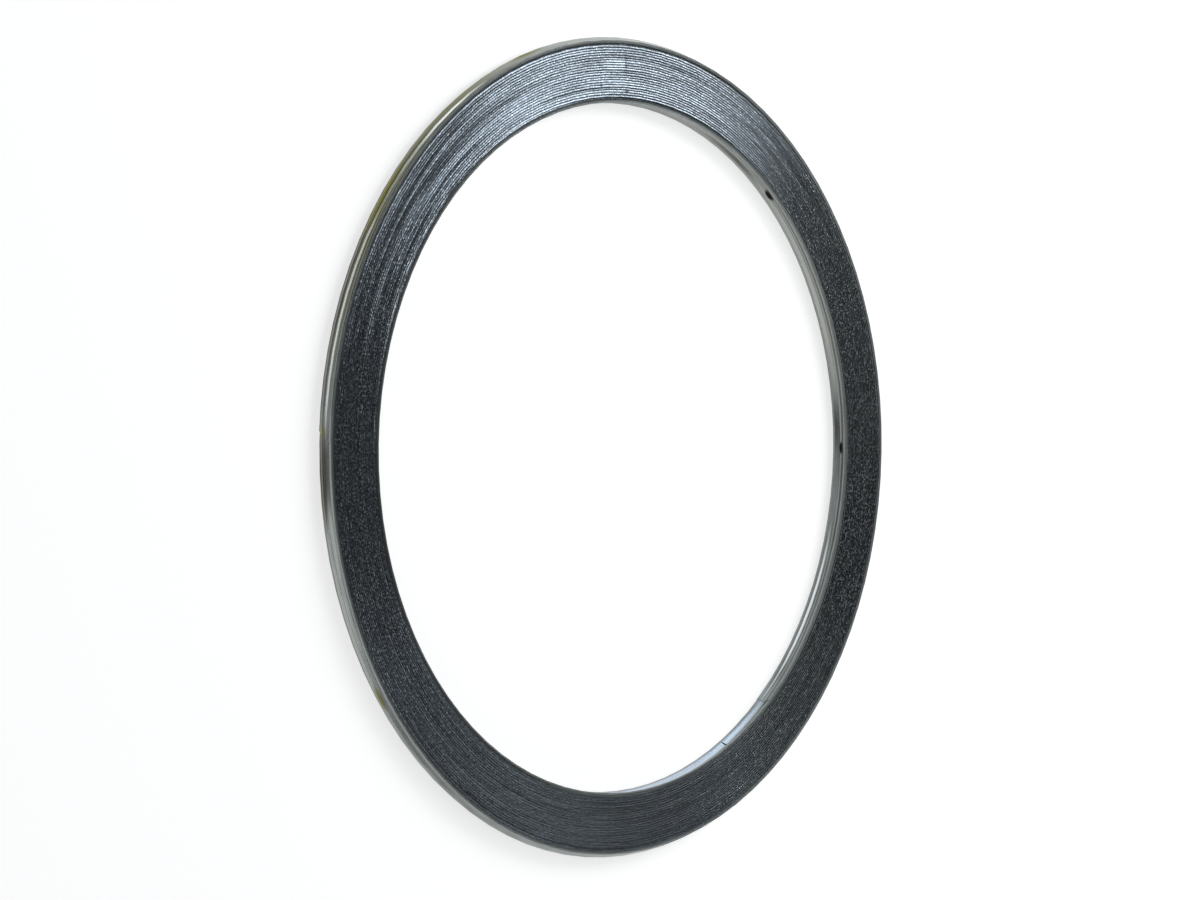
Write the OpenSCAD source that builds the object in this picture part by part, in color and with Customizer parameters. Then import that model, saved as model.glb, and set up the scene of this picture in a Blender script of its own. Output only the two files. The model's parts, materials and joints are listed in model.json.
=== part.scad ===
// Spiral-wound ring gasket for a round door or cover, lying flat with its axis along Z.
// A thin steel strip with a V pressed along its middle is wound edge-on from the bore outwards.
// A graphite tape is wound in with it, and the first and last turns are bare steel.

/* [Ring] */
// Clear bore across the innermost turn, mm
bore_d = 190; // [120:1:300]
// Bearing of the strip's inner end on the bore, degrees anticlockwise from +X
inner_end = 311; // [200:1:345]
// Length of the straight bit of strip that joins two half turns, mm
joint_l = 0.2; // [0.1:0.1:1]

/* [Steel strip] */
// Width of the strip, which is the gasket's nominal thickness, mm
strip_w = 4.5; // [3.2:0.1:7.2]
// Thickness of the strip, mm
strip_t = 0.2; // [0.14:0.02:0.3]
// Depth of the V, pressed outwards, mm
vee_d = 1; // [0.4:0.1:1.6]
// Width of the straight land along each edge of the strip, mm
land_w = 0.55; // [0.3:0.05:0.8]
// Width of the flat along the crest of the V, mm
crest_w = 0.6; // [0.3:0.1:1]

/* [Graphite tape] */
// Thickness of the tape between two turns of steel, mm
tape_t = 0.48; // [0.3:0.02:0.8]
// How far the tape stands proud of the steel on each face, mm
tape_proud = 0.15; // [0.05:0.05:0.4]
// Clearance between the tape and the steel on each side, mm
tape_clear = 0.01; // [0.01:0.01:0.03]
// Gap between the bare turns and the taped turn that leaves them, where it is narrowest, mm
lift = 0.06; // [0.02:0.01:0.1]
// Angle over which each end of the tape thins out, degrees
tape_taper = 140; // [60:5:150]

/* [Turns] */
// Turns of bare steel at the bore
inner_bare = 6; // [2:1:8]
// Turns wound with tape between them
taped_turns = 22; // [4:1:30]
// Turns of bare steel at the rim
outer_bare = 5; // [2:1:8]

/* [Hidden] */
$fn = 180;

// The spiral is made of half turns, numbered from the bore outwards.
// Even ones run below the X axis about one centre, and odd ones above it about a centre one step aside.
// A short straight bit joins each half turn to the next.
bare_step = strip_t / 2;
taped_step = (strip_t + tape_t) / 2;
first_taped = 2 * inner_bare;
first_outer = first_taped + 2 * taped_turns;
last_half = first_outer + 2 * outer_bare - 1;

// Inner radius of half turn k along the edges of the strip
function radius(k) = bore_d / 2 + bare_step * k
    + (taped_step - bare_step) * min(max(k - first_taped, 0), first_outer - first_taped);

// One side of a V band from its bottom edge to its top edge
function vee_side(r, proud) = [
    [r, -proud],
    [r, land_w],
    [r + vee_d, (strip_w - crest_w) / 2],
    [r + vee_d, (strip_w + crest_w) / 2],
    [r, strip_w - land_w],
    [r, strip_w + proud],
];

// Section of a band between two nested V sides
module vee_band(r_in, r_out, proud) {
    outside = vee_side(r_out, proud);
    polygon(concat(
        vee_side(r_in, proud),
        [for (i = [len(outside) - 1 : -1 : 0]) outside[i]]
    ));
}

// Section of half turn k of the strip, or of the tape that lies just outside it
module strip_section(k) vee_band(radius(k), radius(k) + strip_t, 0);
module tape_section(k) vee_band(radius(k) + strip_t + tape_clear, radius(k + 2) - tape_clear, tape_proud);

// Sweeps a section above the X axis about a centre one step to the left
module upper_arc(step, from = 0, sweep = 180) {
    translate([-step, joint_l / 2, tape_proud])
        rotate_extrude(angle = sweep, start = from)
            children();
}

// Sweeps a section below the X axis about the middle
module lower_arc(from = 180) {
    translate([0, -joint_l / 2, tape_proud])
        rotate_extrude(angle = 360 - from, start = from)
            children();
}

// Draws a section out straight across the X axis, on the right or on the left
module right_joint() {
    translate([0, joint_l / 2, tape_proud])
        rotate([90, 0, 0])
            linear_extrude(joint_l)
                children();
}

module left_joint() {
    rotate([0, 0, 180])
        right_joint()
            children();
}

module steel_strip() {
    color([0.6, 0.62, 0.6]) {
        lower_arc(inner_end) strip_section(0);
        lower_arc() for (k = [2 : 2 : last_half]) strip_section(k);
        upper_arc(bare_step) {
            vee_band(radius(1), radius(first_taped - 1) + strip_t - lift, 0);
            vee_band(radius(first_outer + 1) + lift, radius(last_half) + strip_t, 0);
        }
        upper_arc(taped_step) for (k = [first_taped + 1 : 2 : first_outer]) strip_section(k);
        right_joint() for (k = [0 : 2 : last_half]) strip_section(k);
        left_joint() for (k = [2 : 2 : last_half]) strip_section(k);
    }
}

// Thinned end of the tape, in the gap between upper half turns k and k + 2 of unlike steps
module tape_end(k, inner_step, outer_step, from) {
    r_in = radius(k) + strip_t + tape_clear;
    r_out = radius(k + 2) - tape_clear;
    wall = tape_t + vee_d;
    difference() {
        upper_arc(outer_step, from, tape_taper) vee_band(r_out - wall, r_out, tape_proud);
        upper_arc(inner_step, 0, 360) vee_band(r_in - 2 * wall, r_in, 2 * tape_proud);
    }
}

module graphite_tape() {
    color([0.2, 0.21, 0.22]) {
        tape_end(first_taped - 1, bare_step, taped_step, 180 - tape_taper);
        lower_arc() for (k = [first_taped : 2 : first_outer - 2]) tape_section(k);
        upper_arc(taped_step) for (k = [first_taped + 1 : 2 : first_outer - 3]) tape_section(k);
        right_joint() for (k = [first_taped : 2 : first_outer - 2]) tape_section(k);
        left_joint() for (k = [first_taped : 2 : first_outer - 2]) tape_section(k);
        tape_end(first_outer - 1, taped_step, bare_step, 0);
    }
}

steel_strip();
graphite_tape();
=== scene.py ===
# %% [markdown]
# # A spiral-wound door gasket
# The real ring is wound from two long strips that run side by side from the bore to the rim.
# One is thin stainless steel with a V pressed along its middle, the other is soft graphite tape.
# A stack of separate rings would be simpler to make, but it would have no strip ends and no spiral.
# So each strip is one surface here: a cross-section carried along the same spiral as in the CAD model.

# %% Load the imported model
import json
from math import cos, pi, radians, sin

import bpy
import numpy as np
from mathutils import Matrix, Quaternion, Vector


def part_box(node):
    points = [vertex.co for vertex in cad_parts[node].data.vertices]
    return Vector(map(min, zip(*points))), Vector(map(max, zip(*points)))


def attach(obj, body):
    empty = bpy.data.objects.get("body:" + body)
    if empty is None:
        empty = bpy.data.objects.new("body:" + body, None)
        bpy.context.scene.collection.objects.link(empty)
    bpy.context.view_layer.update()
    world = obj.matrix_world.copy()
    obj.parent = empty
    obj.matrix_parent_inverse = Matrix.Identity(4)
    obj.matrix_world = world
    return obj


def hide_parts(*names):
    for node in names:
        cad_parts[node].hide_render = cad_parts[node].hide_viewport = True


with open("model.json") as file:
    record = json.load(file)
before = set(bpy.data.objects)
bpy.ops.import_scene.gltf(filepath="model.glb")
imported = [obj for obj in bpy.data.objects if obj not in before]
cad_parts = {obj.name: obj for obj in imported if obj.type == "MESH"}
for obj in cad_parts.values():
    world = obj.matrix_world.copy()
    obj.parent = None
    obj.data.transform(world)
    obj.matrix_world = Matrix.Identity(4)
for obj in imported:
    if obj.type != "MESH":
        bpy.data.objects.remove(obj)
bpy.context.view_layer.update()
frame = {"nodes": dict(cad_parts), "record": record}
MM = 0.001
print("CAD nodes:", sorted(frame["nodes"]))

# %% [markdown]
# ## Sizes
# The bore, the strip's width and the tape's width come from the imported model, so the picture keeps its scale.
# The gauges of the two strips and the numbers of turns drive the winding. Lengths are in millimetres,
# and the angle of the strip's inner end is in degrees past -X.

# %% Sizes of the ring
bore_r = next(m for m in frame["record"]["mounts"] if m["name"] == "bore")["dims"]["r_mm"]
strip_low, strip_high = (point.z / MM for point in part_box("steel_strip"))
tape_low, tape_high = (point.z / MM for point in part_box("graphite_tape"))
mid_z = (strip_low + strip_high) / 2
half_w = (strip_high - strip_low) / 2
strip_t = 0.2
tape_t = 0.48
clear = 0.01
inner_bare, taped_turns, outer_bare = 6, 22, 5
all_turns = inner_bare + taped_turns + outer_bare
inner_end = 131
print(f"bore {2 * bore_r:.1f} mm, strip {2 * half_w:.2f} mm wide, {all_turns} turns")

# %% [markdown]
# ## The path of the winding
# The angle psi runs along the strip in degrees, and is a whole number of turns where the strip crosses -X.
# A half turn below the X axis keeps its radius, and a half turn above it steps out by one pitch.
# A bare turn is one steel thickness further out than the last, and a taped turn adds the tape's thickness.
# A spiral that grows evenly would be simpler, but this one keeps to the CAD model's turns.
# Each end of a path has a second row close by. The renderer keeps one normal for each point, and without
# that row the flat face of the end would bend the shading of the whole last step.

# %% Turns and radius along the path
end_row = 0.02


def turns_wound(psi):
    """Turns behind the point psi: whole turns, plus half of one minus the cosine of the angle past +X."""
    whole = np.floor(psi / 360)
    past = np.clip(psi - 360 * whole - 180, 0, 180)
    return whole + (1 - np.cos(np.radians(past))) / 2


def strip_radius(psi):
    """Inner radius of the strip: the bore, a steel thickness a turn, and a tape thickness a taped turn."""
    turns = turns_wound(psi)
    return bore_r + strip_t * turns + tape_t * np.clip(turns - inner_bare, 0, taped_turns)


def path(first, last, step=4.0):
    """Angles from first to last in even steps that line up from turn to turn, and a row close to each end."""
    inside = np.arange(np.ceil(first / step), np.ceil(last / step)) * step
    return np.unique(np.concatenate([[first, first + end_row], inside, [last - end_row, last]]))


rim_r = float(strip_radius(360.0 * all_turns)) + strip_t
print(f"outer edge radius {rim_r:.2f} mm")

# %% [markdown]
# ## From a grid of points to a closed mesh
# A profile that is carried along a path gives a grid: one row for each step, one column for each point.
# Neighbouring points make quads, the last column joins the first, and one flat face closes each end.
# Blender's curve bevel could sweep the profile too, but arrays keep every point where the formula puts it.
# Each quad lists its corners anticlockwise as seen from outside, which makes its face look outwards.

# %% Mesh builder
def corner_grid(shape, values):
    """Values at the four corners of each quad, spread over a grid of quads of that shape."""
    return np.stack([np.broadcast_to(value, shape) for value in values], axis=2)


def wound_mesh(name, xyz):
    """Mesh of a grid of points: quads between neighbours, the last column joined to the first, flat ends."""
    steps, points, _ = xyz.shape
    near, far = points * np.arange(steps - 1)[:, None], points * np.arange(1, steps)[:, None]
    left = np.arange(points)[None, :]
    right = (left + 1) % points
    quads = corner_grid((steps - 1, points), [near + left, far + left, far + right, near + right])
    ends = np.append(np.arange(points), np.arange(points)[::-1] + (steps - 1) * points)
    corners = np.append(quads.ravel(), ends)
    starts = np.append(np.arange(0, quads.size, 4), [quads.size, quads.size + points])
    smooth = np.ones(len(starts), bool)
    smooth[-2:] = False

    mesh = bpy.data.meshes.new(name)
    mesh.vertices.add(steps * points)
    mesh.vertices.foreach_set("co", xyz.ravel())
    mesh.loops.add(len(corners))
    mesh.loops.foreach_set("vertex_index", corners)
    mesh.polygons.add(len(starts))
    mesh.polygons.foreach_set("loop_start", starts)
    mesh.polygons.foreach_set("use_smooth", smooth)
    mesh.update(calc_edges=True)
    mesh.validate()
    return mesh


# %% [markdown]
# ## Two maps on the wound mesh
# The map named winding holds millimetres along the strip and across its profile, so finishes follow the
# turns.
# Blender could unwrap the mesh by itself, but it would cut the long strip into pieces and lose its length.
# The second map is for baking the finish into a picture. It gives each turn a row of its own.

# %% Maps and the finished piece
row_margin = 0.05
end_margin = 0.02


def add_map(mesh, name, x, y, end_x, end_y):
    """UV map of that name: x and y at the corners of all quads, then at the corners of the two flat ends."""
    places = np.stack([np.append(x.ravel(), end_x), np.append(y.ravel(), end_y)], axis=1)
    mesh.uv_layers.new(name=name).uv.foreach_set("vector", places.ravel().astype(np.float32))


def wound_piece(name, radius, psi, height):
    """Closed piece through the points at (radius, psi + 180 degrees, height), grids of steps by points."""
    bearing = np.radians(psi + 180)
    xyz = np.stack([radius * np.cos(bearing), radius * np.sin(bearing), height], axis=2) * MM
    mesh = wound_mesh(name, xyz)

    steps, points = radius.shape
    shape = steps - 1, points
    row = psi[:, 0]
    step_l = np.radians(np.diff(row)) * (radius[1:, 0] + radius[:-1, 0]) / 2
    along = np.append(0, np.cumsum(step_l))
    profile = np.stack([radius[steps // 2], height[steps // 2]], axis=1)
    edge_l = np.linalg.norm(np.roll(profile, -1, axis=0) - profile, axis=1)
    across = np.append(0, np.cumsum(edge_l))
    near_u, far_u = along[:-1, None], along[1:, None]
    u = corner_grid(shape, [near_u, far_u, far_u, near_u])
    v = corner_grid(shape, [across[:-1], across[:-1], across[1:], across[1:]])
    end_u = np.repeat([along[0], along[-1]], points)
    add_map(mesh, "winding", u, v, end_u, np.append(across[:-1], across[:-1][::-1]))

    middle = (row[:-1] + row[1:]) / 2
    turn = np.floor(middle / 360)[:, None, None] - np.floor(row[0] / 360)
    rows = turn.max() + 1
    near_x, far_x = row[:-1, None] / 360 % 1, 1 - -row[1:, None] / 360 % 1
    x = corner_grid(shape, [near_x, far_x, far_x, near_x])
    y = (turn + row_margin + (1 - 2 * row_margin) * v / across[-1]) / rows
    end_y = np.repeat([end_margin, 1 - end_margin], points) / rows
    add_map(mesh, "OFBake", x, y, np.repeat([0.0, 1.0], points), end_y)

    piece = bpy.data.objects.new(name, mesh)
    bpy.context.collection.objects.link(piece)
    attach(piece, "root")
    print(f"{name}: {len(mesh.polygons)} faces, {along[-1] / 1000:.1f} m long, {across[-1]:.2f} mm round")
    return piece, row, along, across


# %% [markdown]
# ## The V of the strip
# The strip's section is a V between two straight lands, and rollers leave every bend of it rounded.
# A bevel could round the bends of a sharp V, but a formula rounds them with no extra points.
# A soft corner is half of x plus the root of x squared plus a small rounding squared.
# It is close to nought below a bend and close to x above it, so the difference of two of them is the V.

# %% The V as a formula
vee_d = 1.0
vee_foot = 1.7
vee_crest = 0.3


def soft_corner(x, rounding=0.3):
    """Soft corner: half of x plus the root of x squared plus the rounding squared."""
    return (x + np.sqrt(x * x + rounding * rounding)) / 2


def vee(z):
    """How far the V stands out at a height z from the middle: a slope between two soft corners a side."""
    z = np.abs(z)
    return vee_d * (soft_corner(vee_foot - z) - soft_corner(vee_crest - z)) / (vee_foot - vee_crest)


print(f"V stands out {vee(np.array(0.0)):.2f} mm at the crest and {vee(np.array(half_w)):.2f} mm at the edge")

# %% [markdown]
# ## The steel strip
# The strip is one piece from its inner end on the bore to its outer end on the rim.
# Its profile runs up the outer side, over a crowned edge, down the inner side and round the lower edge.
# Only the points that bend the V are needed, because smooth shading rounds what lies between.
# The outer end is cut at a slant, which shows as a slanting line across the rim. The rows before it lean
# less and less, so that no face is much askew.

# %% Build the steel strip
bends = np.array([0.15, 0.4, 0.65, 1.4, 1.65, 1.95, half_w])
heights = np.append(-bends[::-1], bends)
side = len(heights)
edge_crown = 0.03
cut_l = 3.0
cut_fade = 6

side_z = np.clip(heights, -half_w + edge_crown, half_w - edge_crown)
profile_z = np.concatenate([side_z, [half_w], side_z[::-1], [-half_w]])
profile_t = np.concatenate([np.full(side, strip_t - clear), [strip_t / 2], np.zeros(side), [strip_t / 2]])
strip_path = path(inner_end, 360.0 * all_turns)
cut = cut_l * np.exp((strip_path - strip_path[-1]) / cut_fade)
slant = cut[:, None] * (1 - profile_z / half_w) / 2 * np.degrees(1 / rim_r)
strip_r = strip_radius(strip_path)[:, None] + profile_t + vee(profile_z)
strip_z = mid_z + profile_z + 0 * strip_r
made = wound_piece("steel_strip_wound", strip_r, strip_path[:, None] - slant, strip_z)
strip, strip_psi, strip_along, strip_across = made
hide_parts("steel_strip")

# %% [markdown]
# ## The edge of the graphite tape
# The tape was squeezed in the winding, so its edge is crowned, and leans and settles unevenly all along.
# Those leans catch the light turn by turn, which is what draws the fine rings on the face. They differ most
# at the upper left of the ring, and at its right the edge was pressed flatter. Its end turns lie deeper.
# A bump in the finish could fake the leans, but then the mesh would be flat wherever else it is used.
# A seeded wander gives each of them: one value every so many degrees, eased from each to the next.

# %% The edge of the tape
thin_end = 40
tape_path = path(360.0 * inner_bare - 180 + thin_end, 360.0 * (all_turns - outer_bare) - thin_end)
lean_w = np.array([1, 0.62, 0.21, -0.21, -0.62, -0.93, -1])
settled_d = 0.02
crown_d, crown_swing = 0.03, 0.02
lean_d, lean_pressed = 0.072, 0.045
short_swing, long_swing = 0.04, 0.025
even_share = 0.25
uneven_side, pressed_side = 138, 338
sunk_d, sunk_turn, sunk_slope = 0.25, 330, 40


def wander(every, seed):
    """A smooth wander from -1 to 1 along the tape: a seeded value every so many degrees, eased between."""
    knots = np.random.default_rng(seed).uniform(-1, 1, int(tape_path.max() // every) + 2)
    place = tape_path / every
    first = np.floor(place).astype(int)
    ease = place - first
    return knots[first] + (knots[first + 1] - knots[first]) * ease * ease * (3 - 2 * ease)


def facing(bearing):
    """One where the tape passes that bearing, falling with the cosine to nought a quarter turn away."""
    return np.clip(np.cos(np.radians(tape_path + 180 - bearing)), 0, None)


def tape_edge(seed):
    """Depth of the tape's edge: settled, crowned, leaning across its width, and sunk in the end turns."""
    settled = settled_d + settled_d * wander(every=25, seed=seed)
    uneven = even_share + (1 - even_share) * facing(uneven_side)**8
    pressed = facing(pressed_side)**4
    crown = (1 - pressed) * (crown_d + crown_swing * wander(every=40, seed=seed + 1))
    swing = short_swing * wander(every=14, seed=seed + 2) + long_swing * wander(every=110, seed=seed + 3)
    lean = lean_d - lean_pressed * pressed + uneven * swing
    to_end = np.minimum(tape_path - tape_path[0], tape_path[-1] - tape_path)
    sunk = sunk_d * np.clip((sunk_turn - to_end) / sunk_slope, 0, 1)
    depth = (settled + np.abs(lean) + sunk)[:, None] + lean[:, None] * lean_w
    depth = depth + crown[:, None] * np.clip(lean_w, 0, None)**2
    return np.clip(depth, 0, None)


top = tape_high - tape_edge(11)
bottom = tape_low + tape_edge(21)[:, ::-1]
print(f"tape edge {(tape_high - top).min():.3f} to {(tape_high - top).max():.3f} mm under the face")

# %% [markdown]
# ## The graphite tape
# The tape fills the room between one turn of steel and the next, and stands proud of both of its edges.
# Its profile goes up the outer wall, across the upper edge, down the inner wall and back across the lower
# one.
# Flat walls would cut through the steel, so they follow its V on both sides, with a hair's breadth of room.

# %% Build the graphite tape
inner_r = strip_radius(tape_path) + strip_t + clear
outer_r = strip_radius(tape_path + 360) - clear
wall_z = np.array([-vee_foot, -vee_crest, vee_crest, vee_foot])
walls = wall_z + mid_z + 0 * tape_path[:, None]
tape_z = np.concatenate([walls, top, walls[:, ::-1], bottom], axis=1)
outward = np.concatenate([np.ones(4), (lean_w + 1) / 2, np.zeros(4), (1 - lean_w) / 2])
tape_r = inner_r[:, None] + outward * (outer_r - inner_r)[:, None] + vee(tape_z - mid_z)
made = wound_piece("graphite_tape_wound", tape_r, tape_path[:, None] + 0 * tape_r, tape_z)
tape, tape_psi, tape_along, tape_across = made
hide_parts("graphite_tape")

# %% [markdown]
# ## Nodes in short
# A finish is a small tree of shader nodes. It could be wired by hand in the shader editor.
# These helpers add a node, set its inputs and link what feeds it, so that each finish below reads
# as a list of what it is made of.

# %% Node helpers
def feed(tree, socket, value):
    """Links a socket to the socket that feeds it, or sets it to a number or a list of numbers."""
    if isinstance(value, bpy.types.NodeSocket):
        tree.links.new(value, socket)
    else:
        socket.default_value = value


def add(tree, kind, inputs=None, **settings):
    """New node of that kind: settings are its own values, inputs are what each of its sockets gets."""
    node = tree.nodes.new(kind)
    for key, value in settings.items():
        setattr(node, key, value)
    for key, value in (inputs or {}).items():
        feed(tree, node.inputs[key], value)
    return node


def combine(tree, operation, first, second=0.0):
    """One sum: the operation on two numbers or sockets."""
    return add(tree, "ShaderNodeMath", {0: first, 1: second}, operation=operation).outputs[0]


def times(tree, first, second):
    """Product of two numbers or sockets."""
    return combine(tree, "MULTIPLY", first, second)


def plus(tree, first, second):
    """Sum of two numbers or sockets."""
    return combine(tree, "ADD", first, second)


def larger(tree, first, second):
    """The larger of two numbers or sockets."""
    return combine(tree, "MAXIMUM", first, second)


def split(tree, vector):
    """The x, y and z of a vector socket."""
    return add(tree, "ShaderNodeSeparateXYZ", {0: vector}).outputs


def between(tree, value, low, high, to_low=0.0, to_high=1.0):
    """Carries a value from one range to another, held at both ends."""
    return add(tree, "ShaderNodeMapRange", {0: value, 1: low, 2: high, 3: to_low, 4: to_high}).outputs[0]


# %% [markdown]
# ## Colours, grains and spots
# Three patterns make both finishes: a mix of two colours, a noise whose grains may be long and thin, and a
# soft spot.
# Pictures of the surface could do the same, but these stay sharp at any size and need no file.

# %% Helpers for colours, grains and spots
def blend(tree, share, first, second):
    """Mixes two colours by a share from nought to one. A colour is a socket or red, green and blue."""
    node = add(tree, "ShaderNodeMix", {0: share}, data_type="RGBA")
    for socket, value in ((node.inputs[6], first), (node.inputs[7], second)):
        feed(tree, socket, (*value, 1) if isinstance(value, tuple) else value)
    return node.outputs[2]


def grain(tree, vector, stretch, detail=2.0, roughness=0.5):
    """Noise whose grains measure stretch, in the units of the vector."""
    scaled = add(tree, "ShaderNodeMapping", {"Vector": vector, "Scale": [1 / s for s in stretch]}).outputs[0]
    inputs = {"Vector": scaled, "Scale": 1.0, "Detail": detail, "Roughness": roughness}
    return add(tree, "ShaderNodeTexNoise", inputs).outputs["Fac"]


def spot(tree, vector, centre, size):
    """One in the middle of a spot, nought from its edge on: a ball gradient on a shifted, scaled vector."""
    shift = [-c / s for c, s in zip(centre, size)]
    inputs = {"Vector": vector, "Location": shift, "Scale": [1 / s for s in size]}
    ball = add(tree, "ShaderNodeMapping", inputs).outputs[0]
    return add(tree, "ShaderNodeTexGradient", {"Vector": ball}, gradient_type="SPHERICAL").outputs[1]


def finish(name):
    """New material with its tree, its surface shader, object coordinates and the winding map."""
    material = bpy.data.materials.new(name)
    material.use_nodes = True
    tree = material.node_tree
    place = add(tree, "ShaderNodeTexCoord").outputs["Object"]
    along = add(tree, "ShaderNodeUVMap", uv_map="winding").outputs[0]
    return material, tree, tree.nodes["Principled BSDF"], place, along


# %% [markdown]
# ## The bare steel
# Rolled stainless strip is a soft grey, a little cloudy, with fine lines along it from the rolls.
# An anisotropic shader could hint at the lines, but noise on the winding map, stretched along the strip,
# shows
# them as they are. A grain's numbers are its length along the strip and its width across it in millimetres.

# %% Rolled steel and its lines
steel, tree, shader, place, along = finish("rolled_steel")
dark_grey, light_grey, line_grey = (0.21, 0.226, 0.221), (0.30, 0.322, 0.316), (0.15, 0.16, 0.14)
lines = grain(tree, along, (60, 0.05, 1), detail=3)
cloud = grain(tree, along, (9, 1.2, 1), detail=3)
colour = blend(tree, between(tree, cloud, 0.3, 0.7), dark_grey, light_grey)
colour = blend(tree, between(tree, lines, 0.35, 0.75, 0.0, 0.25), colour, line_grey)
print("bare steel:", len(tree.nodes), "nodes")

# %% [markdown]
# ## Places on the strip
# A mark could be painted by hand on an unwrapped picture. Here it is a soft spot on the winding map, so it
# can be
# moved by its numbers: its bearing in degrees, its height from the strip's middle, and its half length and
# half width in millimetres.

# %% Places and tints on the strip
def on_strip(bearing, z, rim):
    """Winding map's place of a mark: on the last turn's outer side, or else the first turn's inner side."""
    psi_there = (bearing - 180) % 360
    if rim:
        psi_there += 360 * (all_turns - 1)
    else:
        psi_there += 360 * (psi_there < inner_end)
    u = np.interp(psi_there, strip_psi, strip_along)
    mesh_z = profile_z[:side] if rim else profile_z[side + 1:-1][::-1]
    mesh_v = strip_across[:side] if rim else strip_across[side + 1:-2][::-1]
    return float(u), float(np.interp(z, mesh_z, mesh_v)), 0.0


def rim_tint(colour, marks, tint, most=0.9):
    """Lays marks of one tint over the rim's colour, each with a cloudy outline and a greatest share."""
    for bearing, z, long, wide in marks:
        mark = spot(tree, along, on_strip(bearing, z, True), (long, wide, 1))
        mark = times(tree, mark, between(tree, cloud, 0.25, 0.6, 0.6, 1.3))
        colour = blend(tree, between(tree, mark, 0.05, 0.6, 0.0, most), colour, tint)
    return colour


print(f"the last turn starts {on_strip(180, 0.0, True)[0] / 1000:.2f} m along the strip")

# %% [markdown]
# ## Heat tint, painted highlights and painted shade on the rim
# The heat of spot welding left wide olive patches on the last turn. Other stretches are lightened by painted
# highlights, or darkened by painted shade on the flank that faces the floor.
# One noise over the whole rim would put them anywhere, so each has its own place.
# One noise over the whole rim would put them anywhere, so each has its own place.

# %% Olive stretches, painted highlights and painted shade
olive, painted_highlight_grey, painted_shade_brown = (0.17, 0.165, 0.09), (0.38, 0.40, 0.37), (0.05, 0.046, 0.03)
olive_marks = [(140, 0.6, 80, 3.0), (146, -0.6, 14, 3.2)]
# Painted highlights: these pale stretches lighten the rim where it would catch the light.
painted_highlight_marks = [(88, 0.6, 80, 2.4), (187, 1.0, 24, 1.0), (205, -0.3, 34, 2.2)]
# Painted shade: these dark stretches darken the lower flank and crest, which face the floor.
painted_shade_marks = [(162, -0.5, 64, 1.3), (185, -0.9, 18, 2.2), (184, -0.4, 16, 1.5)]
colour = rim_tint(colour, olive_marks, olive)
colour = rim_tint(colour, painted_highlight_marks, painted_highlight_grey)
colour = rim_tint(colour, painted_shade_marks, painted_shade_brown)
print("rim marks:", len(olive_marks + painted_highlight_marks + painted_shade_marks))

# %% [markdown]
# ## The painted glint line and the straw tint
# A painted highlight draws a bright glint line beside the crest, which comes nearer to the crest as it goes
# round. A chain of spots would
# look like beads, so it is one curve through three places on the map: a parabola in the share of the way from
# the first to the last. It fades in before the first place and out after the last, short of the strip's end.
# The welds themselves are straw yellow and lie over it.

# %% Painted glint line and straw tint
painted_glint_grey, straw = (0.82, 0.86, 0.84), (0.165, 0.15, 0.025)
# The polished line is a painted highlight, a bright glint drawn into the colour beside the crest.
glint_line_places = [(127, 1.48), (150.5, 0.95), (174, 0.66)]
fade_in, fade_out = 14, 10
straw_marks = [(111, -0.1, 9, 1.8), (145, 0.1, 14, 1.7), (178.6, 0.0, 4, 1.0), (216, 0.0, 5, 1.5)]

(first_u, first_v, _), (_, middle_v, _), (last_u, last_v, _) = (on_strip(*p, True) for p in glint_line_places)
on_map = split(tree, along)
way = between(tree, on_map[0], first_u, last_u)
bend = times(tree, way, 2 * first_v + 2 * last_v - 4 * middle_v)
climb = times(tree, way, plus(tree, bend, 4 * middle_v - 3 * first_v - last_v))
beside = combine(tree, "ABSOLUTE", combine(tree, "SUBTRACT", on_map[1], plus(tree, climb, first_v)))
before_end = between(tree, on_map[0], last_u + fade_out, last_u)
past_start = between(tree, on_map[0], first_u - fade_in, first_u)
painted_glint = times(tree, between(tree, beside, 0.40, 0.16), past_start)
colour = blend(tree, times(tree, painted_glint, before_end), colour, painted_glint_grey)
colour = rim_tint(colour, straw_marks, straw, 0.85)
print(f"polished line {last_u - first_u:.0f} mm long, straw marks: {len(straw_marks)}")

# %% [markdown]
# ## Painted highlights and marks in the bore
# The inner side of the first turn has a blue painted highlight and a bright painted highlight at the lower
# right of the ring, is rubbed paler at the upper right, and has a thin line of painted shade along its groove.
# The welds burnt it black in a few small places.
# These are soft spots too, but with a plain outline. Only the burns are ragged.

# %% Painted highlights, painted groove shade, wear and burns of the bore
def bore_tint(colour, marks, tint, reach=0.5, most=1.0):
    """Lays soft marks of one tint over the bore's colour, full from reach on, up to a greatest share."""
    for bearing, z, long, wide in marks:
        mark = spot(tree, along, on_strip(bearing, z, False), (long, wide, 1))
        colour = blend(tree, between(tree, mark, 0.0, reach, 0.0, most), colour, tint)
    return colour


painted_blue_highlight, painted_white_highlight, rubbed = (0.54, 0.62, 0.72), (0.95, 0.98, 1.0), (0.38, 0.39, 0.36)
painted_groove_shade, burnt_black = (0.07, 0.075, 0.07), (0.012, 0.011, 0.010)
burn_marks = [(0.6, 0.0, 2.6, 0.8), (49.8, -0.25, 3.0, 1.1), (86, 0.1, 0.9, 0.4), (299, -0.6, 0.4, 1.6)]
# Painted highlights: the blue shine and the bright line are reflections drawn into the colour.
colour = bore_tint(colour, [(288, -0.8, 48, 1.2)], painted_blue_highlight)
colour = bore_tint(colour, [(329, -1.0, 32, 0.45)], painted_white_highlight)
colour = bore_tint(colour, [(45, 0.0, 80, 3.0)], rubbed, 0.4, 0.8)
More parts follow.
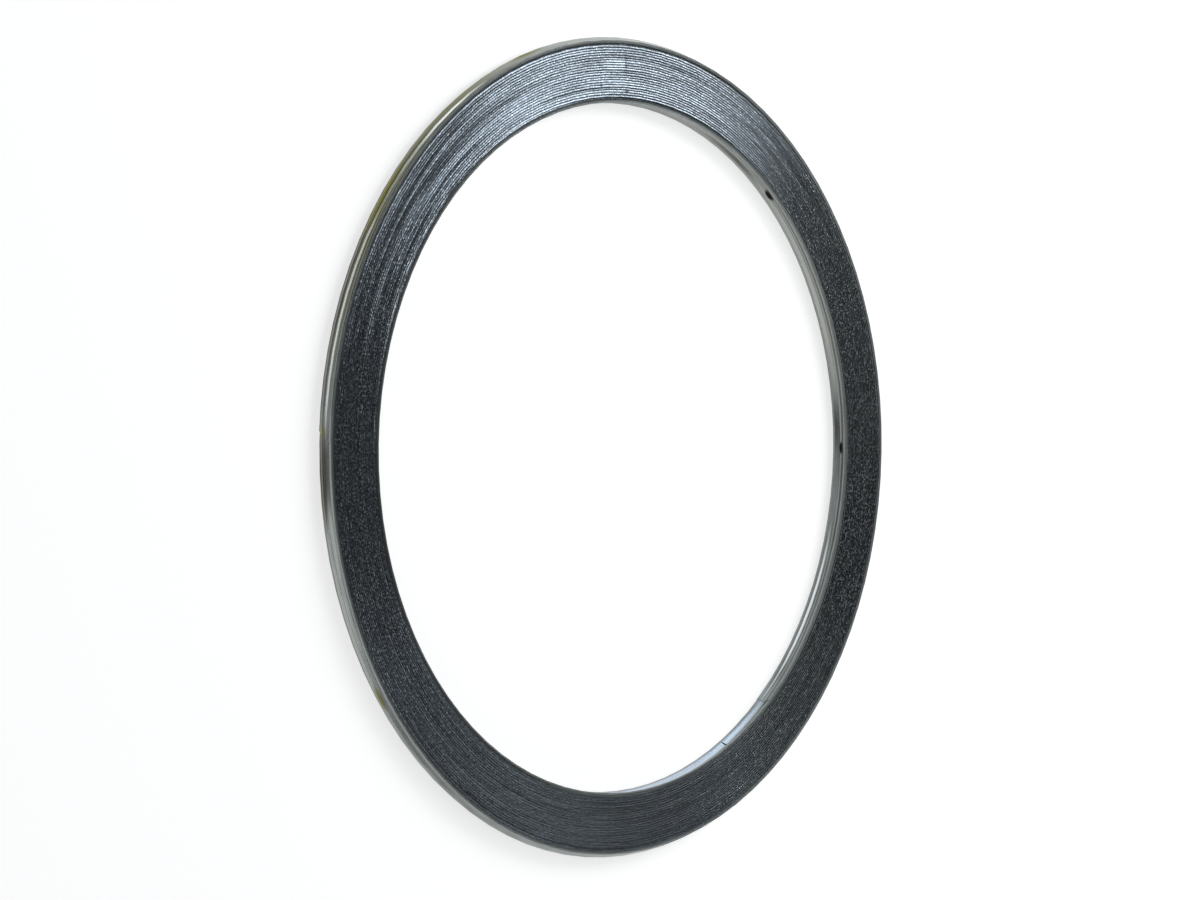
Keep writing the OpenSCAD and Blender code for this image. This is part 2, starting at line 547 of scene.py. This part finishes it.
# Painted shade: a dark line along the groove of the bore.
colour = bore_tint(colour, [(20, -0.3, 110, 0.4)], painted_groove_shade, 0.4, 0.3)
burnt = 0.0
for bearing, z, long, wide in burn_marks:
    mark = spot(tree, along, on_strip(bearing, z, False), (long, wide, 1))
    ragged = plus(tree, mark, times(tree, cloud, 0.3))
    burnt = larger(tree, burnt, between(tree, ragged, 0.3, 0.65))
colour = blend(tree, burnt, colour, burnt_black)
print("burns:", len(burn_marks))

# %% [markdown]
# ## Graphite on the steel's edges
# The thin edges of the steel between the turns of tape are smeared with graphite, some stretches more than
# others.
# The bare edges at the bore and at the rim stay cleaner, and so does the right side of the ring.
# A dark line of painted shade also runs along both lands of the rim. Painting the edge of every turn would take
# long, so the smear
# is masked by the height on the ring and the distance from its axis.

# %% Smears on the steel and painted shade on the rim
smear_grey = (0.03, 0.033, 0.035)
face_out = bore_r + strip_t * (inner_bare + 1) + (strip_t + tape_t) * taped_turns
steel_xyz = split(tree, place)
height = combine(tree, "ABSOLUTE", combine(tree, "SUBTRACT", steel_xyz[2], mid_z * MM))
edge = between(tree, height, (half_w - 0.2) * MM, (half_w - 0.04) * MM)
in_plane = add(tree, "ShaderNodeVectorMath", {0: place, 1: (1, 1, 0)}, operation="MULTIPLY").outputs[0]
from_axis = add(tree, "ShaderNodeVectorMath", {0: in_plane}, operation="LENGTH").outputs["Value"]
past_bore = between(tree, from_axis, (bore_r + 0.15) * MM, (bore_r + 0.9) * MM, 0.1, 1.0)
past_face = between(tree, from_axis, rim_r * MM, face_out * MM, 0.1, 0.95)
worn = between(tree, grain(tree, along, (45, 2, 1), detail=3), 0.4, 0.6, 0.8, 1.0)
cleaner = between(tree, steel_xyz[0], 0.4 * bore_r * MM, 0.9 * bore_r * MM, 1.0, 0.35)
smear = times(tree, times(tree, combine(tree, "MINIMUM", past_bore, past_face), worn), cleaner)
# Painted shade: a dark lip along the upper and lower lands of the last turn.
land = between(tree, height, (half_w - 0.55) * MM, (half_w - 0.25) * MM)
on_rim = between(tree, from_axis, (rim_r - 0.15) * MM, (rim_r - 0.05) * MM, 0.0, 0.7)
painted_lip_shade = times(tree, times(tree, land, on_rim), before_end)
colour = blend(tree, larger(tree, painted_lip_shade, times(tree, edge, smear)), colour, smear_grey)
print(f"taped face from {face_out:.1f} mm inwards, rim at {rim_r:.1f} mm")

# %% [markdown]
# ## Shine and relief of the steel
# The roll lines are a little rougher or smoother than what lies between, and stand in very low relief.
# Burns and edges are duller. The lines could be cut into the mesh, but a bump of the light is enough for
# so fine a mark.

# %% Roughness and relief of the steel
rough = between(tree, lines, 0.2, 0.8, 0.16, 0.28)
rough = plus(tree, rough, times(tree, larger(tree, burnt, edge), 0.25))
line_relief = {"Height": lines, "Strength": 0.25, "Distance": 0.02 * MM}
tree.links.new(colour, shader.inputs["Base Color"])
tree.links.new(rough, shader.inputs["Roughness"])
tree.links.new(add(tree, "ShaderNodeBump", line_relief).outputs[0], shader.inputs["Normal"])
shader.inputs["Metallic"].default_value = 1.0
strip.data.materials.append(steel)
print("rolled_steel:", len(tree.nodes), "nodes")

# %% [markdown]
# ## The tone of the graphite
# Pressed graphite is a dark blue-grey with a dull shine, like a soft pencil line. Its flakes lie flat, so it
# is close to a metal. Wide bands and fine streaks run along the turns, and small flakes lie all over it.
# One noise could stand for all of it, but the streaks have to follow the winding map, while the flakes are on
# object coordinates, because they cross from turn to turn.

# %% Bands, streaks and flakes
graphite, tree, shader, place, along = finish("pressed_graphite")
deep_grey, blue_grey = (0.06, 0.068, 0.077), (0.155, 0.182, 0.212)
band = grain(tree, along, (70, 3, 1), detail=2)
streak = grain(tree, along, (25, 0.4, 1), detail=5, roughness=0.65)
flake = grain(tree, place, (0.6 * MM, 0.6 * MM, 4 * MM), detail=1)
tone = plus(tree, times(tree, streak, 0.45), times(tree, flake, 0.3))
tone = plus(tree, tone, times(tree, band, 0.25))
colour = blend(tree, between(tree, tone, 0.40, 0.62), deep_grey, blue_grey)
print("graphite tone:", len(tree.nodes), "nodes")

# %% [markdown]
# ## Painted glints and painted shade on the graphite
# Painted glints on pale flakes and painted shade in the hollows between them show most at the right of the
# ring, less at its left and least at its top and bottom, where streaks take over. The right side is darkened as
# a whole with painted shade.
# The light alone could not tell the sides apart so clearly, so this painted light differs from side to side.
# The light alone could not tell the sides apart so clearly, so the finish differs from side to side.

# %% Painted shade on the right side, painted flake glints and hollow shade
painted_shade_grey, flake_glint_grey = (0.03, 0.033, 0.036), (0.40, 0.44, 0.48)
tape_xyz = split(tree, place)
up_or_down = combine(tree, "ABSOLUTE", tape_xyz[1])
speckle_light_share = between(tree, up_or_down, 0.5 * bore_r * MM, 0.9 * bore_r * MM, 1.0, 0.35)
speckle_light_share = times(tree, speckle_light_share, between(tree, tape_xyz[0], 0.0, bore_r * MM, 0.75, 2.4))
# Painted shade: the right side of the face is darkened as a whole.
right_painted_shade = between(tree, tape_xyz[0], 0.5 * bore_r * MM, 0.85 * bore_r * MM, 0.0, 0.55)
# Painted glints on the pale flakes and painted shade in the hollows between them, strongest at the right.
painted_flake_glints = times(tree, between(tree, flake, 0.56, 0.68), speckle_light_share)
painted_hollow_shade = times(tree, between(tree, flake, 0.47, 0.36, 0.0, 0.75), speckle_light_share)
colour = blend(tree, right_painted_shade, colour, painted_shade_grey)
colour = blend(tree, painted_flake_glints, colour, flake_glint_grey)
colour = blend(tree, painted_hollow_shade, colour, painted_shade_grey)
print("graphite with mottling:", len(tree.nodes), "nodes")

# %% [markdown]
# ## Single marks on the graphite
# A pale patch lies at the top of the ring, with a few dark pits where a flake is lost, and a short dark seam.
# Small chips are missing all over, and raised dashes glint on one of the innermost turns.
# A mark on the face crosses several turns, so it is a spot on object coordinates. The dashes run along one
# turn,
# so they are on the winding map.

# %% Patch, dashes and pits
def on_face(bearing, share):
    """Place of a mark on the upper face in metres, from its bearing and its share of the outer radius."""
    turn = radians(bearing)
    return share * rim_r * MM * cos(turn), share * rim_r * MM * sin(turn), tape_high * MM


def face_spot(bearing, share, long, wide):
    """Spot on the upper face: half length along X and half width along Y in millimetres."""
    return spot(tree, place, on_face(bearing, share), (long * MM, wide * MM, 5 * MM))


patch_grey, glint_grey, pit_black = (0.26, 0.30, 0.34), (0.75, 0.8, 0.85), (0.02, 0.022, 0.024)
lost_flakes = [(97.3, 0.8895, 0.7, 0.7), (91.3, 0.8748, 1.1, 0.6), (91.5, 0.936, 0.5, 0.5)]
seam = (91.5, 0.945, 0.3, 3.0)
dash_psi, dash_share = 2492, 0.7
dash_u = float(np.interp(dash_psi, tape_psi, tape_along))
dash_v = float(np.interp(dash_share, -lean_w, tape_across[4:4 + len(lean_w)]))

patch = between(tree, face_spot(94, 0.94, 6, 2.6), 0.1, 0.5, 0.0, 0.3)
colour = blend(tree, patch, colour, patch_grey)
dashed = between(tree, grain(tree, along, (9, 0.5, 1), detail=2), 0.45, 0.6)
dashes = times(tree, between(tree, spot(tree, along, (dash_u, dash_v, 0.0), (60, 0.3, 1)), 0.0, 0.5), dashed)
colour = blend(tree, dashes, colour, glint_grey)
chip = grain(tree, along, (1.8, 0.3, 1), detail=1)
pit = between(tree, chip, 0.36, 0.28, 0.0, 0.7)
for bearing, share, long, wide in [*lost_flakes, seam]:
    pit = larger(tree, pit, between(tree, face_spot(bearing, share, long, wide), 0.1, 0.6))
colour = blend(tree, pit, colour, pit_black)
print(f"lost flakes: {len(lost_flakes)}, dashes {dash_u / 1000:.2f} m along the tape")

# %% [markdown]
# ## Shine and relief of the graphite
# Soft scores along the turns, flakes, chips and the raised dashes break up the shine of the face.
# They are far too many to model, so one bump adds them up, each with its own weight.

# %% Roughness and relief of the graphite
score = grain(tree, along, (20, 0.7, 1), detail=1)
rough = between(tree, streak, 0.3, 0.7, 0.31, 0.2)
ridges = plus(tree, times(tree, score, 0.6), times(tree, flake, 0.4))
ridges = plus(tree, ridges, times(tree, chip, 0.12))
ridges = plus(tree, ridges, times(tree, dashes, 0.6))
face_relief = {"Height": ridges, "Strength": 0.8, "Distance": 0.15 * MM}
tree.links.new(colour, shader.inputs["Base Color"])
tree.links.new(rough, shader.inputs["Roughness"])
tree.links.new(add(tree, "ShaderNodeBump", face_relief).outputs[0], shader.inputs["Normal"])
shader.inputs["Metallic"].default_value = 0.9
tape.data.materials.append(graphite)
print("pressed_graphite:", len(tree.nodes), "nodes")

# %% [markdown]
# ## Floor
# A ring cannot stand on its edge unheld, so it lies flat on a plain white floor and keeps its soft shadow
# there.
# The lamps light the floor only part of the way to white. Brighter paint would throw more light on the
# ring, so
# a glow that only the camera, reflections and rays through clear things can see makes up the rest.

# %% Floor
floor_half = 6
floor_grey = 0.5
floor_glow = 0.68
floor_mesh = bpy.data.meshes.new("floor")
floor_corners = [(x * floor_half, y * floor_half, 0) for x, y in ((-1, -1), (1, -1), (1, 1), (-1, 1))]
floor_mesh.from_pydata(floor_corners, [], [(0, 1, 2, 3)])
floor = bpy.data.objects.new("floor", floor_mesh)
bpy.context.collection.objects.link(floor)
floor_paint = bpy.data.materials.new("white_floor")
floor_paint.use_nodes = True
tree = floor_paint.node_tree
paint = tree.nodes["Principled BSDF"]
paint.inputs["Base Color"].default_value = (floor_grey, floor_grey, floor_grey, 1)
paint.inputs["Roughness"].default_value = 0.9
paint.inputs["Specular IOR Level"].default_value = 0.0
paint.inputs["Emission Color"].default_value = (1, 1, 1, 1)
ray = add(tree, "ShaderNodeLightPath").outputs
seen = larger(tree, larger(tree, ray["Is Camera Ray"], ray["Is Glossy Ray"]), ray["Is Transmission Ray"])
tree.links.new(times(tree, seen, floor_glow), paint.inputs["Emission Strength"])
floor_mesh.materials.append(floor_paint)
print(f"floor {2 * floor_half} m across")

# %% [markdown]
# ## Light
# One large soft panel stands beyond the top of the picture and to the right, and lights the bright arc of
# the face.
# A smaller one above it lights the turns that lean outwards at the upper left. A strip at the back and
# three dim
# fills give the rim, the bore and the lower half of the face something to reflect.
# A picture of a studio all round could do the same, but panels can be moved one by one. The surround is
# dim and
# even, so the sides of the face stay dark and their flakes show.

# %% Panels and surround
scene = bpy.context.scene
scene.view_settings.view_transform = "Standard"
scene.world = bpy.data.worlds.new("surround")
scene.world.use_nodes = True
surround = scene.world.node_tree.nodes["Background"]
surround.inputs["Color"].default_value = (1.0, 1.0, 0.98, 1)
surround.inputs["Strength"].default_value = 0.13


def panel(name, azimuth, elevation, wide, tall, glow, colour=(0.94, 0.975, 1.0), spin=0):
    """Soft panel one metre from the ring's middle and facing it, as bright as glow times white."""
    data = bpy.data.lights.new(name, "AREA")
    data.shape = "RECTANGLE"
    data.size, data.size_y, data.color = wide, tall, colour
    data.energy = glow * pi * wide * tall
    turn, lift = radians(azimuth), radians(elevation)
    lamp = bpy.data.objects.new(name, data)
    lamp.location = (cos(lift) * cos(turn), cos(lift) * sin(turn), sin(lift))
    spun = Quaternion((0, 0, 1), radians(spin))
    lamp.rotation_euler = (lamp.location.to_track_quat("Z", "Y") @ spun).to_euler()
    bpy.context.collection.objects.link(lamp)
    print(f"{name}: {data.energy:.1f} W")


panel("main_panel", 35.5, 34.5, 0.74, 0.42, 7.8, spin=47)
panel("high_panel", 36, 61, 0.5, 0.28, 2.5)
panel("back_strip", 82, 8, 0.75, 0.25, 1.4, (0.85, 0.93, 1.0))
panel("left_fill", 143, 20, 1.4, 0.4, 0.7)
panel("right_fill", -125, 18, 1.6, 0.4, 1.0)
panel("low_fill", -36, 51, 0.6, 0.7, 0.7)

# %% [markdown]
# ## Camera
# The camera looks at the face from the angle of the photograph: from the -X side, well off the ring's axis,
# with +Y up in the picture. Its distance and shifts are in outer radii, so that they hold for a ring of
# any size.
# They were fitted to the ring's edges, and so was the lens.

# %% Camera
off_axis = radians(47.27)
roll = radians(0.91)
distance = 10.137 * rim_r * MM
shift_right, shift_up = 0.0651 * rim_r * MM, 0.0054 * rim_r * MM
back = Vector((-sin(off_axis), 0, cos(off_axis)))
level = Vector((cos(off_axis), 0, sin(off_axis)))
right = cos(roll) * level + sin(roll) * Vector((0, 1, 0))
up = back.cross(right)
lens = bpy.data.cameras.new("camera")
lens.sensor_fit = "HORIZONTAL"
lens.sensor_width = 36
lens.lens = 123.777
camera = bpy.data.objects.new("camera", lens)
turned = Matrix((right, up, back)).transposed().to_4x4()
middle_of_face = Vector((0, 0, strip_high * MM))
stand = middle_of_face + distance * back - shift_right * right - shift_up * up
camera.matrix_world = Matrix.Translation(stand) @ turned
bpy.context.collection.objects.link(camera)
scene.camera = camera
print(f"camera {distance:.2f} m from the ring, lens {lens.lens:.1f} mm")
